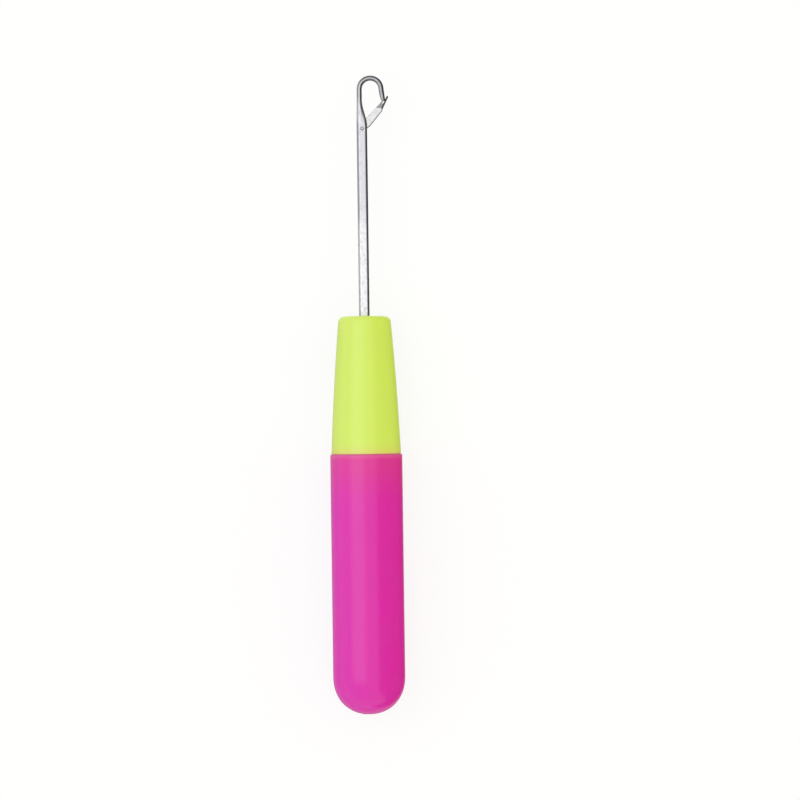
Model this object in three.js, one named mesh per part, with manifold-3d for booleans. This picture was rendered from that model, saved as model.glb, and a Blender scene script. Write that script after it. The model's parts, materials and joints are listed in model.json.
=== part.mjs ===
// A latch hook for crocheting dreadlocks: a steel latch needle in a two-piece plastic handle.
// It is drawn as it lies on a table. The needle points along +Y, the hook opens towards +X, and Z is up.
// All sizes are millimetres. Each piece is drawn on the tool's own axis, and the whole is then lifted
// onto the table.
import * as THREE from "three";
import { mergeVertices } from "three/addons/utils/BufferGeometryUtils.js";
import Module from "manifold-3d";

const wasm = await Module();
wasm.setup();

// Handle barrel: a deep moulded cup, closed by a slightly squared dome
const barrelRadius = 9;
const barrelLength = 65.2;
const barrelWall = 2.6;
const domeHeight = 9.5;
const domePower = 2.15;
const mouthRound = 0.45;
const crushRibCount = 6;
const crushRibWidth = 1;
const crushRibFit = 0.05;

// Handle nose: a cored cone in front of the barrel, with a spigot that plugs into it
const noseLength = 34.5;
const noseFrontRadius = 6.5;
const noseRearRadius = 8.72;
const noseBulge = 0.19;
const noseEdgeRound = 1.4;
const noseWall = 1.9;
const noseFrontWall = 5;
const spigotLength = 20;
const spigotWall = 1.6;
const spigotChamfer = 0.8;
const spigotClearance = 0.3;
const shoulderGap = 0.05;
const bossRadius = 3.1;
const noseWebCount = 4;
const noseWebThickness = 1.2;

// Needle: a flat stem that narrows to a round wire, bent over into the hook
const needleReach = 60.3;
const stemWidth = 2.66;
const stemThickness = 1.5;
const stemCorner = 0.5;
const wireDiameter = 1.24;
const wireInset = 0.14;
const bendRadius = 2.72;
const armLean = THREE.MathUtils.degToRad(7.3);
const armLength = 3.45;
const tipHalfWidth = 0.5;
const throatLength = 6.6;

// Tang: the end of the stem that the nose is moulded round
const tangLength = 47;
const tangChamfer = 0.5;
const tangClearance = 0.05;
const notchRadius = 0.5;
const notchDepth = 0.4;
const notchSpacing = 9;
const notchFromEnd = 7;

// Latch: a thin plate that swings in a slot in the stem, with a hollowed spoon over the hook's tip
const pivotFromCrown = 13.3;
const latchThickness = 0.46;
const latchEyeRadius = 0.88;
const latchOuterEdge = 1.24;
const latchInnerEdge = 0.82;
const webEdge = 0.4;
const webToTip = 0.15;
const spoonLength = 3.3;
const spoonWidth = 1.7;
const spoonThickness = 0.48;
const spoonCant = THREE.MathUtils.degToRad(13.5);
const spoonPastTip = 1.3;
const spoonHollow = 0.12;
const spoonEndRound = 0.7;
const latchCorner = 0.12;
const tipGap = 0.06;

// Slot and rivet
const slotClearance = 0.08;
const slotPastLatch = 0.5;
const sawRadius = 5;
const rivetRadius = 0.42;
const rivetFlare = 0.12;
const rivetFlareDepth = 0.2;
const rivetProud = 0.04;
const rivetPressGap = 0.02;
const rivetRunningGap = 0.05;

// How finely round forms are faceted
const handleSides = 36;
const rivetSides = 24;
const cornerSteps = 4;
const bendSteps = 22;
const throatSteps = 10;
const tipSteps = 8;
const eyeSteps = 5;
const plateSteps = 14;
const leafSteps = 11;
const domeSteps = 12;
const coneSteps = 6;

// Stations along the tool's axis
const totalLength = barrelLength + noseLength + needleReach;
const domePole = -totalLength / 2;
const barrelMouth = domePole + barrelLength;
const noseFace = barrelMouth + noseLength;
const crown = noseFace + needleReach;
const tangEnd = noseFace - tangLength;
const spigotEnd = barrelMouth - spigotLength;
const pivotY = crown - pivotFromCrown;

// The barrel lies on one of its facets, which is a little nearer the axis than its corners
const axisHeight = barrelRadius * Math.cos(Math.PI / handleSides);

// Radii of the press fit between nose and barrel
const boreRadius = barrelRadius - barrelWall;
const spigotRadius = boreRadius - spigotClearance;

// The hook's bend, and where its arm and tip end
const wireRadius = wireDiameter / 2;
const stemHalf = stemWidth / 2;
const stemHalfThick = stemThickness / 2;
const bendCentre = new THREE.Vector2(
  -stemHalf + wireInset + wireRadius + bendRadius,
  crown - bendRadius - wireRadius,
);
const armDirection = new THREE.Vector2(Math.sin(armLean), -Math.cos(armLean));
const armOutward = new THREE.Vector2(Math.cos(armLean), Math.sin(armLean));
const armStart = bendCentre.clone().addScaledVector(armOutward, bendRadius);
const tipCentre = armStart
  .clone()
  .addScaledVector(armDirection, armLength - tipHalfWidth)
  .addScaledVector(armOutward, wireRadius - tipHalfWidth);

// The latch closes on the tip, so its length and angle come from where the tip is.
// The tip's place is along and aside of the latch's own axis, from the pivot.
const tipFromPivot = tipCentre.clone().sub(new THREE.Vector2(0, pivotY));
const tipToSpoonMiddle = (tipHalfWidth + tipGap + spoonThickness / 2) / Math.cos(spoonCant);
const tipAside = Math.tan(spoonCant) * spoonPastTip - tipToSpoonMiddle;
const tipAlong = Math.sqrt(tipFromPivot.lengthSq() - tipAside ** 2);
const latchAngle = Math.atan2(tipFromPivot.x, tipFromPivot.y) - Math.atan2(tipAside, tipAlong);
const latchLength = tipAlong + spoonPastTip;
const spoonStart = latchLength - spoonLength;

// The slot takes the latch's eye at its floor, and the latch's plate when it is laid back
const slotWidth = latchThickness + 2 * slotClearance;
const slotFloor = -latchEyeRadius - slotClearance;
const slotBottom = pivotY - spoonStart - slotPastLatch;

// A closed geometry as a solid, for joining and cutting
function toSolid(geometry) {
  const bare = geometry.clone();
  bare.deleteAttribute("normal");
  bare.deleteAttribute("uv");
  const merged = mergeVertices(bare, 1e-5);
  const corners = merged.index.array;
  const kept = [];
  for (let i = 0; i < corners.length; i += 3) {
    const [a, b, c] = [corners[i], corners[i + 1], corners[i + 2]];
    if (a !== b && b !== c && c !== a) kept.push(a, b, c);
  }
  return new wasm.Manifold(
    new wasm.Mesh({
      numProp: 3,
      vertProperties: merged.attributes.position.array,
      triVerts: new Uint32Array(kept),
    }),
  );
}

// A solid's surface as a geometry
function toGeometry(solid) {
  const mesh = solid.getMesh();
  const geometry = new THREE.BufferGeometry();
  geometry.setAttribute("position", new THREE.BufferAttribute(mesh.vertProperties, 3));
  geometry.setIndex(new THREE.BufferAttribute(mesh.triVerts, 1));
  geometry.computeVertexNormals();
  return geometry;
}

// A profile of [radius, y] points turned about the Y axis
function turned(profile, sides = handleSides) {
  const points = profile.map(([radius, y]) => new THREE.Vector2(radius, y));
  return toSolid(new THREE.LatheGeometry(points, sides, Math.PI / sides));
}

// A box with its middle at a point
function block(width, length, height, x, y, z) {
  return toSolid(new THREE.BoxGeometry(width, length, height).translate(x, y, z));
}

// A cylinder that stands along Z
function post(radius, height, x, y, sides = rivetSides) {
  const drum = new THREE.CylinderGeometry(radius, radius, height, sides);
  return toSolid(drum.rotateX(Math.PI / 2).translate(x, y, 0));
}

// A plane shape given thickness along Z, with its middle at z = 0
function plate(shape, thickness) {
  const settings = { depth: thickness, bevelEnabled: false, curveSegments: 16 };
  return toSolid(new THREE.ExtrudeGeometry(shape, settings).translate(0, 0, -thickness / 2));
}

// Points of a quarter turn round [radius, y], from one angle to another
function arcPoints(radius, y, size, from, to, steps) {
  return Array.from({ length: steps + 1 }, (_, i) => {
    const angle = from + ((to - from) * i) / steps;
    return [radius + size * Math.cos(angle), y + size * Math.sin(angle)];
  });
}

// A rounded rectangle as a ring of [across, z] points; its flats never close up, so no points meet
function roundedSection(halfAcross, halfThick, corner) {
  const round = Math.min(corner, 0.97 * halfAcross, 0.97 * halfThick);
  const ring = [];
  for (let quarter = 0; quarter < 4; quarter++) {
    const start = (quarter * Math.PI) / 2;
    const signAcross = quarter === 0 || quarter === 3 ? 1 : -1;
    const signThick = quarter < 2 ? 1 : -1;
    for (let i = 0; i <= cornerSteps; i++) {
      const angle = start + (i * Math.PI) / 2 / cornerSteps;
      ring.push([
        signAcross * (halfAcross - round) + round * Math.cos(angle),
        signThick * (halfThick - round) + round * Math.sin(angle),
      ]);
    }
  }
  return ring;
}

// A skin over rounded rectangles that follow a path in the XY plane, closed at both ends.
// A station holds the path's point, the direction across it, and the section's half sizes and corner.
function lofted(stations) {
  const rings = stations.map(({ at, across, half, thick, corner }) =>
    roundedSection(half, thick, corner).map(([u, z]) => [at.x + across.x * u, at.y + across.y * u, z]),
  );
  const sides = rings[0].length;
  const positions = rings.flat();
  const triangles = [];
  for (let r = 0; r + 1 < rings.length; r++) {
    for (let i = 0; i < sides; i++) {
      const next = (i + 1) % sides;
      const [a, b] = [r * sides + i, r * sides + next];
      triangles.push([a, a + sides, b], [b, a + sides, b + sides]);
    }
  }
  const last = (rings.length - 1) * sides;
  for (let i = 1; i + 1 < sides; i++) {
    triangles.push([0, i, i + 1], [last, last + i + 1, last + i]);
  }
  const geometry = new THREE.BufferGeometry();
  geometry.setAttribute("position", new THREE.Float32BufferAttribute(positions.flat(), 3));
  geometry.setIndex(triangles.flat());
  return toSolid(geometry);
}

// A value read off a list of [place, value] pairs, eased between them
function along(table, place) {
  const index = table.findIndex(([at]) => at >= place);
  if (index <= 0) return table[index === 0 ? 0 : table.length - 1][1];
  const [[from, low], [to, high]] = [table[index - 1], table[index]];
  const share = (place - from) / (to - from);
  return low + (high - low) * share * share * (3 - 2 * share);
}

// The dome's radius at a distance from its pole, for an outline of the given size
function domeRadius(fromPole, radius, height) {
  const fall = Math.pow(1 - fromPole / height, domePower);
  return radius * Math.pow(1 - fall, 1 / domePower);
}

// Points of a dome from its pole to its full radius, closer together near the pole
function domeProfile(pole, radius, height) {
  return Array.from({ length: domeSteps + 1 }, (_, i) => {
    const fromPole = height * (1 - Math.cos((i * Math.PI) / 2 / domeSteps));
    return [i === 0 ? 0 : domeRadius(fromPole, radius, height), pole + fromPole];
  });
}

function barrelSolid() {
  const outside = domeProfile(domePole, barrelRadius, domeHeight);
  const lip = arcPoints(barrelRadius - mouthRound, barrelMouth - mouthRound, mouthRound, 0, Math.PI / 2, 5);
  const inside = domeProfile(domePole + barrelWall, boreRadius, domeHeight - barrelWall).reverse();
  const leadIn = [
    [boreRadius + mouthRound, barrelMouth],
    [boreRadius, barrelMouth - mouthRound],
  ];
  let barrel = turned([...outside, ...lip, ...leadIn, ...inside]);

  // Crush ribs in the bore grip the spigot, from just inside the mouth to past the spigot's end
  const ribHeight = spigotClearance - crushRibFit;
  const ribRoot = 0.4;
  const ribTop = barrelMouth - 2 * mouthRound;
  const ribLength = ribTop - (spigotEnd - spigotChamfer);
  for (let i = 0; i < crushRibCount; i++) {
    const rib = block(
      ribHeight + ribRoot,
      ribLength,
      crushRibWidth,
      boreRadius + (ribRoot - ribHeight) / 2,
      ribTop - ribLength / 2,
      0,
    );
    barrel = barrel.add(rib.rotate([0, (i * 360) / crushRibCount, 0]));
  }
  return barrel;
}

// The nose's radius on its slightly swollen cone, before the front edge is rounded
function coneRadius(y) {
  const share = (noseFace - y) / noseLength;
  const straight = noseFrontRadius + (noseRearRadius - noseFrontRadius) * share;
  return straight + noseBulge * Math.sin(Math.PI * share);
}

function conePoints(from, to, inset) {
  return Array.from({ length: coneSteps + 1 }, (_, i) => {
    const y = from + ((to - from) * i) / coneSteps;
    return [coneRadius(y) - inset, y];
  });
}

function noseSolid() {
  const seat = barrelMouth + shoulderGap;
  const roundY = noseFace - noseEdgeRound;
  const frontEdge = arcPoints(coneRadius(roundY) - noseEdgeRound, roundY, noseEdgeRound, Math.PI / 2, 0, 6);
  const outside = turned([
    [0, spigotEnd],
    [spigotRadius - spigotChamfer, spigotEnd],
    [spigotRadius, spigotEnd + spigotChamfer],
    [spigotRadius, seat],
    ...conePoints(seat, roundY - 0.01, 0),
    ...frontEdge.reverse(),
    [0, noseFace],
  ]);

  // The core leaves an even wall, a thick front and the spigot's ring
  const coreFront = noseFace - noseFrontWall;
  const spigotCore = spigotRadius - spigotWall;
  const openEnd = spigotEnd - 1;
  const coreStep = seat + noseWall;
  const core = turned([
    [0, openEnd],
    [spigotCore, openEnd],
    [spigotCore, seat],
    ...conePoints(coreStep, coreFront, noseWall),
    [0, coreFront],
  ]);

  // A boss round the tang, tied to the wall by plates
  const bossLength = coreFront - spigotEnd;
  const boss = turned([
    [0, spigotEnd],
    [bossRadius, spigotEnd],
    [bossRadius, coreFront + 0.5],
    [0, coreFront + 0.5],
  ]);
  let inner = boss;
  for (let i = 0; i < noseWebCount / 2; i++) {
    const web = block(2 * noseRearRadius, bossLength, noseWebThickness, 0, spigotEnd + bossLength / 2, 0);
    inner = inner.add(web.rotate([0, 45 + (i * 360) / noseWebCount, 0]));
  }

  // The tang's pocket, with lugs of plastic left standing in the tang's notches
  const pocketEnd = tangEnd - tangClearance;
  const pocket = lofted(
    [pocketEnd, noseFace + 1].map((y) => ({
      at: new THREE.Vector2(0, y),
      across: new THREE.Vector2(1, 0),
      half: stemHalf + tangClearance,
      thick: stemHalfThick + tangClearance,
      corner: stemCorner + tangClearance,
    })),
  );
  const lugs = notchPlaces().map(({ x, y }) => post(notchRadius - tangClearance, 2 * stemThickness, x, y));
  const cut = lugs.reduce((left, lug) => left.subtract(lug), pocket);
  return outside.subtract(core).add(inner.intersect(outside)).subtract(cut);
}

// Centres of the round notches in the tang's edges
function notchPlaces() {
  const edge = stemHalf + notchRadius - notchDepth;
  const rows = [tangEnd + notchFromEnd, tangEnd + notchFromEnd + notchSpacing];
  return rows.flatMap((y) => [
    { x: edge, y },
    { x: -edge, y },
  ]);
}

// Stations of the needle from the tang's end up the stem, round the bend and down to the tip
function needleStations() {
  const stations = [];
  const straight = (y, half = stemHalf, thick = stemHalfThick) =>
    stations.push({
      at: new THREE.Vector2(0, y),
      across: new THREE.Vector2(1, 0),
      half,
      thick,
      corner: stemCorner,
    });
  straight(tangEnd, stemHalf - tangChamfer, stemHalfThick - tangChamfer / 2);
  straight(tangEnd + tangChamfer);
  straight(noseFace);
  straight(slotBottom - 1);
  straight(pivotY);

  // The throat: the front edge runs in to the wire, and the section turns from flat to round
  const throatStart = pivotY + 0.6;
  const frontEdge = [
    [throatStart, stemHalf],
    [throatStart + throatLength, wireInset - stemHalf + wireDiameter],
  ];
  const backEdge = [
    [throatStart, -stemHalf],
    [bendCentre.y, wireInset - stemHalf],
  ];
  const roundness = [
    [throatStart, 0],
    [throatStart + throatLength, 1],
  ];
  for (let i = 0; i <= throatSteps; i++) {
    const y = throatStart + ((bendCentre.y - 0.05 - throatStart) * i) / throatSteps;
    const [front, back, round] = [along(frontEdge, y), along(backEdge, y), along(roundness, y)];
    stations.push({
      at: new THREE.Vector2((front + back) / 2, y),
      across: new THREE.Vector2(1, 0),
      half: (front - back) / 2,
      thick: THREE.MathUtils.lerp(stemHalfThick, wireRadius, round),
      corner: THREE.MathUtils.lerp(stemCorner, wireRadius, round),
    });
  }

  // The bend, from the back of the needle over the crown to the arm
  for (let i = 0; i <= bendSteps; i++) {
    const angle = Math.PI - ((Math.PI - armLean) * i) / bendSteps;
    const outward = new THREE.Vector2(Math.cos(angle), Math.sin(angle));
    stations.push({
      at: bendCentre.clone().addScaledVector(outward, bendRadius),
      across: outward.clone().negate(),
      half: wireRadius,
      thick: wireRadius,
      corner: wireRadius,
    });
  }

  // The arm and its tip: the inner side tapers towards the end, which is round
  for (let i = 1; i <= tipSteps; i++) {
    const run = armLength * Math.sin((i * Math.PI) / 2 / tipSteps);
    const toEnd = Math.max(armLength - run, 0.012);
    const roundOff = toEnd < tipHalfWidth ? Math.sqrt(1 - (1 - toEnd / tipHalfWidth) ** 2) : 1;
    const tapered = THREE.MathUtils.lerp(wireRadius, tipHalfWidth, (run / armLength) ** 3);
    stations.push({
      at: armStart
        .clone()
        .addScaledVector(armDirection, run)
        .addScaledVector(armOutward, wireRadius - tapered),
      across: armOutward.clone().negate(),
      half: tapered * roundOff,
      thick: THREE.MathUtils.lerp(wireRadius, tapered, 0.6) * roundOff,
      corner: wireRadius,
    });
  }
  return stations;
}

// The slot's outline seen from above: open at the front edge, with its top along the closed latch
// and the round run-out of a saw below
function slotShape() {
  const openX = stemHalf + 1;
  const topEdge = Math.max(latchEyeRadius, latchInnerEdge) + slotClearance;
  const topY = (x) => pivotY + (topEdge + x * Math.cos(latchAngle)) / Math.sin(latchAngle);
  const sawCentreX = slotFloor + sawRadius;
  const sawAngle = Math.acos((sawCentreX - stemHalf) / sawRadius);
  const sawCentreY = slotBottom + sawRadius * Math.sin(sawAngle);
  const outline = new THREE.Shape();
  outline.moveTo(openX, topY(openX));
  outline.lineTo(slotFloor, topY(slotFloor));
  outline.lineTo(slotFloor, sawCentreY);
  outline.absarc(sawCentreX, sawCentreY, sawRadius, Math.PI, Math.PI + sawAngle);
  outline.lineTo(openX, slotBottom);
  outline.closePath();
  return outline;
}

// The rivet's outline, grown by a clearance: a shank with flared ends
function rivetProfile(grow, proud) {
  const half = stemHalfThick;
  const shank = rivetRadius + grow;
  const head = rivetRadius + rivetFlare + grow;
  const end = half + proud;
  const crownRadius = proud > rivetProud ? head : head * 0.75;
  return [
    [0, -end],
    [crownRadius, -end],
    [head, -half],
    [shank, -half + rivetFlareDepth],
    [shank, half - rivetFlareDepth],
    [head, half],
    [crownRadius, end],
    [0, end],
  ];
}

function needleSolid() {
  const blank = lofted(needleStations());
  const slot = plate(slotShape(), slotWidth);
  const rivetHole = turned(rivetProfile(rivetPressGap, 1), rivetSides)
    .rotate([90, 0, 0])
    .translate([0, pivotY, 0]);
  const notches = notchPlaces().map(({ x, y }) => post(notchRadius, 2 * stemThickness, x, y));
  return notches.reduce((left, notch) => left.subtract(notch), blank.subtract(slot).subtract(rivetHole));
}

// The latch lies along its own Y axis with its eye at the origin; its outer edge faces +X
function latchSolid() {
  const spoonMid = (y) => Math.tan(spoonCant) * (latchLength - y);
  const section = (y, outer, inner, thick) => ({
    at: new THREE.Vector2((outer + inner) / 2, y),
    across: new THREE.Vector2(1, 0),
    half: (outer - inner) / 2,
    thick,
    corner: latchCorner,
  });

  // The plate: round at the eye, then wide, then a web along the spoon that ends short of the tip
  const webEnd = tipAlong - tipHalfWidth - webToTip;
  const leafStart = spoonStart - spoonThickness;
  const outerEdge = [
    [0, latchEyeRadius],
    [2.5 * latchEyeRadius, latchOuterEdge],
    [leafStart, latchOuterEdge],
    [spoonStart + spoonThickness, spoonMid(spoonStart + spoonThickness)],
  ];
  const innerEdge = [
    [0, -latchEyeRadius],
    [2 * latchEyeRadius, -latchInnerEdge],
    [webEnd, -webEdge],
  ];
  const plateStations = [];
  for (let i = 0; i < eyeSteps; i++) {
    const angle = (Math.PI / 2) * (0.12 + (0.88 * i) / eyeSteps);
    const half = latchEyeRadius * Math.sin(angle);
    plateStations.push(section(-latchEyeRadius * Math.cos(angle), half, -half, latchThickness / 2));
  }
  for (let i = 0; i <= plateSteps; i++) {
    const y = (webEnd * i) / plateSteps;
    const outer = y < spoonStart + spoonThickness ? along(outerEdge, y) : spoonMid(y);
    plateStations.push(section(y, outer, along(innerEdge, y), latchThickness / 2));
  }

  // The spoon: a flat leaf across the plate, canted so that it closes on the tip
  const leafHalf = [
    [leafStart, latchThickness / 2],
    [spoonStart + spoonThickness, spoonWidth * 0.38],
    [spoonStart + spoonLength / 2, spoonWidth / 2],
    [latchLength, spoonWidth * 0.42],
  ];
  const spoonHalf = spoonThickness / 2;
  const spoonStations = [];
  for (let i = 0; i <= leafSteps; i++) {
    const y = leafStart + (latchLength - leafStart) * Math.sin((i * Math.PI) / 2 / leafSteps);
    const toEnd = Math.max(latchLength - y, spoonEndRound / 80) / spoonEndRound;
    const roundOff = toEnd < 1 ? Math.sqrt(1 - (1 - toEnd) ** 2) : 1;
    const middle = Math.min(spoonMid(y), latchOuterEdge - spoonHalf);
    spoonStations.push(section(y, middle + spoonHalf, middle - spoonHalf, along(leafHalf, y) * roundOff));
  }

  // The hollow that the tip sits in
  const hollow = new THREE.SphereGeometry(1, 14, 8);
  hollow.scale(2 * spoonHollow, spoonLength * 0.3, spoonWidth * 0.34);
  hollow.translate(-spoonThickness / 2 - spoonHollow, 0, 0);
  hollow.rotateZ(spoonCant).translate(spoonMid(tipAlong), tipAlong, 0);

  const eyeHole = post(rivetRadius + rivetRunningGap, 2 * latchThickness, 0, 0);
  return lofted(plateStations).add(lofted(spoonStations)).subtract(toSolid(hollow)).subtract(eyeHole);
}

// The rivet stands along Z at the pivot
function rivetSolid() {
  return turned(rivetProfile(0, rivetProud), rivetSides).rotate([90, 0, 0]);
}

const finishes = {
  pink: new THREE.MeshStandardMaterial({ color: 0xdb3aa6, roughness: 0.5, metalness: 0 }),
  lime: new THREE.MeshStandardMaterial({ color: 0xd2ea62, roughness: 0.5, metalness: 0 }),
  steel: new THREE.MeshStandardMaterial({ color: 0xc4c6cc, roughness: 0.3, metalness: 1 }),
};

function piece(name, solid, finish) {
  const mesh = new THREE.Mesh(toGeometry(solid), finish);
  mesh.name = name;
  return mesh;
}

const hookTool = new THREE.Group();
hookTool.position.z = axisHeight;
hookTool.add(piece("handle_barrel", barrelSolid(), finishes.pink));
hookTool.add(piece("handle_nose", noseSolid(), finishes.lime));
hookTool.add(piece("needle", needleSolid(), finishes.steel));

const pivot = new THREE.Group();
pivot.position.y = pivotY;
pivot.add(piece("latch_rivet", rivetSolid(), finishes.steel));
const latch = piece("latch", latchSolid(), finishes.steel);
latch.rotation.z = -latchAngle;
pivot.add(latch);
hookTool.add(pivot);

export default hookTool;
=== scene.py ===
"""A latch hook for crocheting dreadlocks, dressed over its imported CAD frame.

The tool lies on a table with its needle along +Y, the hook open towards +X and Z up.
Every piece is modelled about the tool's own axis, and then lifted to the height of that axis.
"""
import json
from math import acos, cos, pi, radians, sin, sqrt, tan

import bmesh
import bpy
from bpy.props import FloatProperty, FloatVectorProperty, IntProperty, PointerProperty
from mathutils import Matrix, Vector


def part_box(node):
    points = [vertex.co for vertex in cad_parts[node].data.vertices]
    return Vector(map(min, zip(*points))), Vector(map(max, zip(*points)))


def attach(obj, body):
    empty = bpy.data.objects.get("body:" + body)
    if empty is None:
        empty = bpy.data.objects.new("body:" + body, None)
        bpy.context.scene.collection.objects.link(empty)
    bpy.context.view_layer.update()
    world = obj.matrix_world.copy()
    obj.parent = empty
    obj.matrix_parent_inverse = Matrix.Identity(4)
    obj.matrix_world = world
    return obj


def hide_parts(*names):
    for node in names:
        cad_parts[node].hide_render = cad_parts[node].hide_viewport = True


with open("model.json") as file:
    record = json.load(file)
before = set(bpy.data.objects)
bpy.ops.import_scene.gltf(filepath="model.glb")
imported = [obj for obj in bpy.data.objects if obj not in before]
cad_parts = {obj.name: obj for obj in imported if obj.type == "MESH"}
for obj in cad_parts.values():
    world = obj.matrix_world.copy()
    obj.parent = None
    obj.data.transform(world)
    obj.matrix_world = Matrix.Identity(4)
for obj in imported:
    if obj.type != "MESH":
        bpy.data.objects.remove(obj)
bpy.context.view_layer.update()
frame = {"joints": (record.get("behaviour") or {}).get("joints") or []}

bl_info = {
    "name": "Dreadlock Crochet Hook",
    "version": (1, 0, 0),
    "blender": (4, 5, 0),
    "location": "3D View > Sidebar > Crochet Hook",
    "description": "Models and finishes a latch hook in a two-piece plastic handle",
    "category": "Add Mesh",
}

MM = 0.001
SMOOTH_UP_TO = radians(35)

# The denoiser leaves a thin line where roughness crosses 0.274, so plastic stays below and steel above
PLASTIC_ROUGHNESS = 0.22
STEEL_ROUGHNESS = 0.28

# Stations along the tool, read off the frame
PIVOT = Vector(frame["joints"][0]["pos_m"])
AXIS_HEIGHT = PIVOT.z
DOME_POLE, BARREL_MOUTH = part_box("handle_barrel")[0].y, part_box("handle_barrel")[1].y
SPIGOT_END, NOSE_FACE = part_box("handle_nose")[0].y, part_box("handle_nose")[1].y
TANG_END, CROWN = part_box("needle")[0].y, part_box("needle")[1].y
STEM_HALF = -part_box("needle")[0].x


def length(name, description, millimetres):
    """A length, given in millimetres and kept in metres."""
    return FloatProperty(
        name=name, description=description, default=millimetres * MM, precision=6, unit="LENGTH"
    )


def number(name, description, value):
    """A plain number."""
    return FloatProperty(name=name, description=description, default=value)


def angle_of(name, description, degrees):
    """An angle, given in degrees."""
    return FloatProperty(name=name, description=description, default=radians(degrees), subtype="ANGLE")


def place_of(name, description, metres):
    """A point, in metres."""
    return FloatVectorProperty(
        name=name, description=description, default=metres, precision=4, subtype="TRANSLATION"
    )


def tint(name, what, colour):
    """A linear colour."""
    return FloatVectorProperty(
        name=name, description="Colour of " + what, default=colour, min=0, max=1, subtype="COLOR"
    )


class BarrelSizes(bpy.types.PropertyGroup):
    """Sizes of the barrel, a moulded cup with a domed end."""

    radius: length("Radius", "Outer radius of the barrel", 9.03)
    bore: length("Bore", "Radius of the bore that takes the nose", 6.4)
    dome_height: length("Dome height", "Length of the domed end", 9.5)
    dome_power: number("Dome squareness", "2 is an ellipse, and more is squarer", 2.15)
    lip: length("Lip", "Rounding of the mouth's edge", 0.42)
    parting: length("Parting line", "Height of the mould's parting line", 0.05)
    parting_angle: angle_of("Parting angle", "Where a parting line runs, from +X towards +Z", 139.5)
    gate: length("Gate", "Radius of the mark that the mould's gate left on the dome", 0.8)
    sides: IntProperty(name="Sides", description="Steps round the barrel", default=160)


class NoseSizes(bpy.types.PropertyGroup):
    """Sizes of the nose, a slightly swollen cone with a spigot behind it."""

    front_radius: length("Front radius", "Radius at the needle's end", 6.5)
    rear_radius: length("Rear radius", "Radius at the barrel", 8.72)
    bulge: length("Bulge", "How far the cone swells half way along", 0.19)
    edge: length("Edge", "Rounding of the front edge", 1.4)
    spigot_radius: length("Spigot radius", "Radius of the plug inside the barrel", 6.1)
    seat_gap: length("Seat gap", "Joint between the nose and the barrel's mouth", 0.05)
    pocket_gap: length("Pocket gap", "Joint between the nose and the needle", 0.04)
    sides: IntProperty(name="Sides", description="Steps round the nose", default=144)


class NeedleSizes(bpy.types.PropertyGroup):
    """Sizes of the needle: a flat stem that runs into a round wire, bent into the hook."""

    thickness: length("Thickness", "Thickness of the flat stem", 1.5)
    corner: length("Corner", "Rounding along the stem's edges", 0.62)
    wire: length("Wire", "Diameter of the hook's wire", 1.3)
    inset: length("Inset", "How far the wire's back lies inside the stem's back edge", 0.14)
    bend: length("Bend", "Radius of the hook's bend, to the middle of the wire", 2.72)
    lean: angle_of("Lean", "Angle of the hook's arm", 7.3)
    arm: length("Arm", "Length of the arm below the bend", 3.45)
    tip_round: length("Tip rounding", "Rounding of the tip's end", 0.4)
    tip: length("Tip", "Half width of the tip", 0.5)
    throat: length("Throat", "Length over which the stem runs into the wire", 6.6)
    slot: length("Slot", "Width of the slot that the latch swings in", 0.62)
    slot_floor: length("Slot floor", "How far the slot's floor lies behind the axis", 0.96)
    slot_reach: length("Slot reach", "How far the slot runs back from the pivot", 7.57)
    saw: length("Saw", "Radius of the saw that cut the slot's end", 5)
    notch: length("Notch", "Radius of the tang's notches", 0.5)


class LatchSizes(bpy.types.PropertyGroup):
    """Sizes of the latch, its spoon and its rivet."""

    angle: angle_of("Angle", "Angle of the closed latch from the stem", 39.05)
    reach: length("Reach", "From the pivot to the spoon's end", 10.41)
    thickness: length("Thickness", "Thickness of the plate", 0.46)
    eye: length("Eye", "Radius of the eye round the rivet", 0.88)
    outer: length("Outer edge", "From the latch's middle line to its outer edge", 1.24)
    inner: length("Inner edge", "From the latch's middle line to its inner edge", 0.82)
    web: length("Web", "From the latch's middle line to the web's inner edge at the tip", 0.4)
    web_gap: length("Web gap", "From the web's end to the hook's tip", 0.11)
    spoon: length("Spoon", "Length of the spoon", 3.3)
    spoon_thickness: length("Spoon thickness", "Thickness of the spoon", 0.48)
    spoon_past_tip: length("Spoon past tip", "From the hook tip's middle to the spoon's end", 1.3)
    spoon_width: length("Spoon width", "Width of the spoon", 1.7)
    cant: angle_of("Cant", "Angle of the spoon to the plate", 13.5)
    hollow: length("Hollow", "Depth of the spoon's hollow", 0.12)
    rivet: length("Rivet", "Radius of the rivet's shank", 0.42)
    rivet_head: length("Rivet head", "Radius of the rivet's flared ends", 0.54)


class Finishes(bpy.types.PropertyGroup):
    """Colours of the plastics and the steel."""

    pink: tint("Pink", "the barrel", (0.675, 0.013, 0.4))
    # The blush and lip colours of the barrel are painted bounce light from the lime nose near their joint
    pink_blush: tint("Pink bounce tint", "the barrel beside the nose", (0.68, 0.035, 0.275))
    pink_lip: tint("Pink lip", "the barrel at its mouth", (0.7, 0.12, 0.33))
    lime: tint("Lime", "the nose", (0.605, 0.78, 0.115))
    # The nose's blush is painted bounce light from the pink barrel near their joint
    lime_blush: tint("Lime bounce tint", "the nose beside the barrel", (0.8, 0.42, 0.22))
    steel: tint("Steel", "the needle's flat sides", (0.68, 0.67, 0.705))
    pickled: tint("Pickled steel", "the flat sides near the nose", (0.84, 0.83, 0.86))
    # Dark steel colours the grain's lines and specks, and is the painted shade on edges and round the rivet
    steel_dark: tint("Dark steel", "the needle's edges and of crevices", (0.25, 0.245, 0.27))
    plate: tint("Latch plate", "the latch's flat sides", (0.75, 0.745, 0.755))


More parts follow.
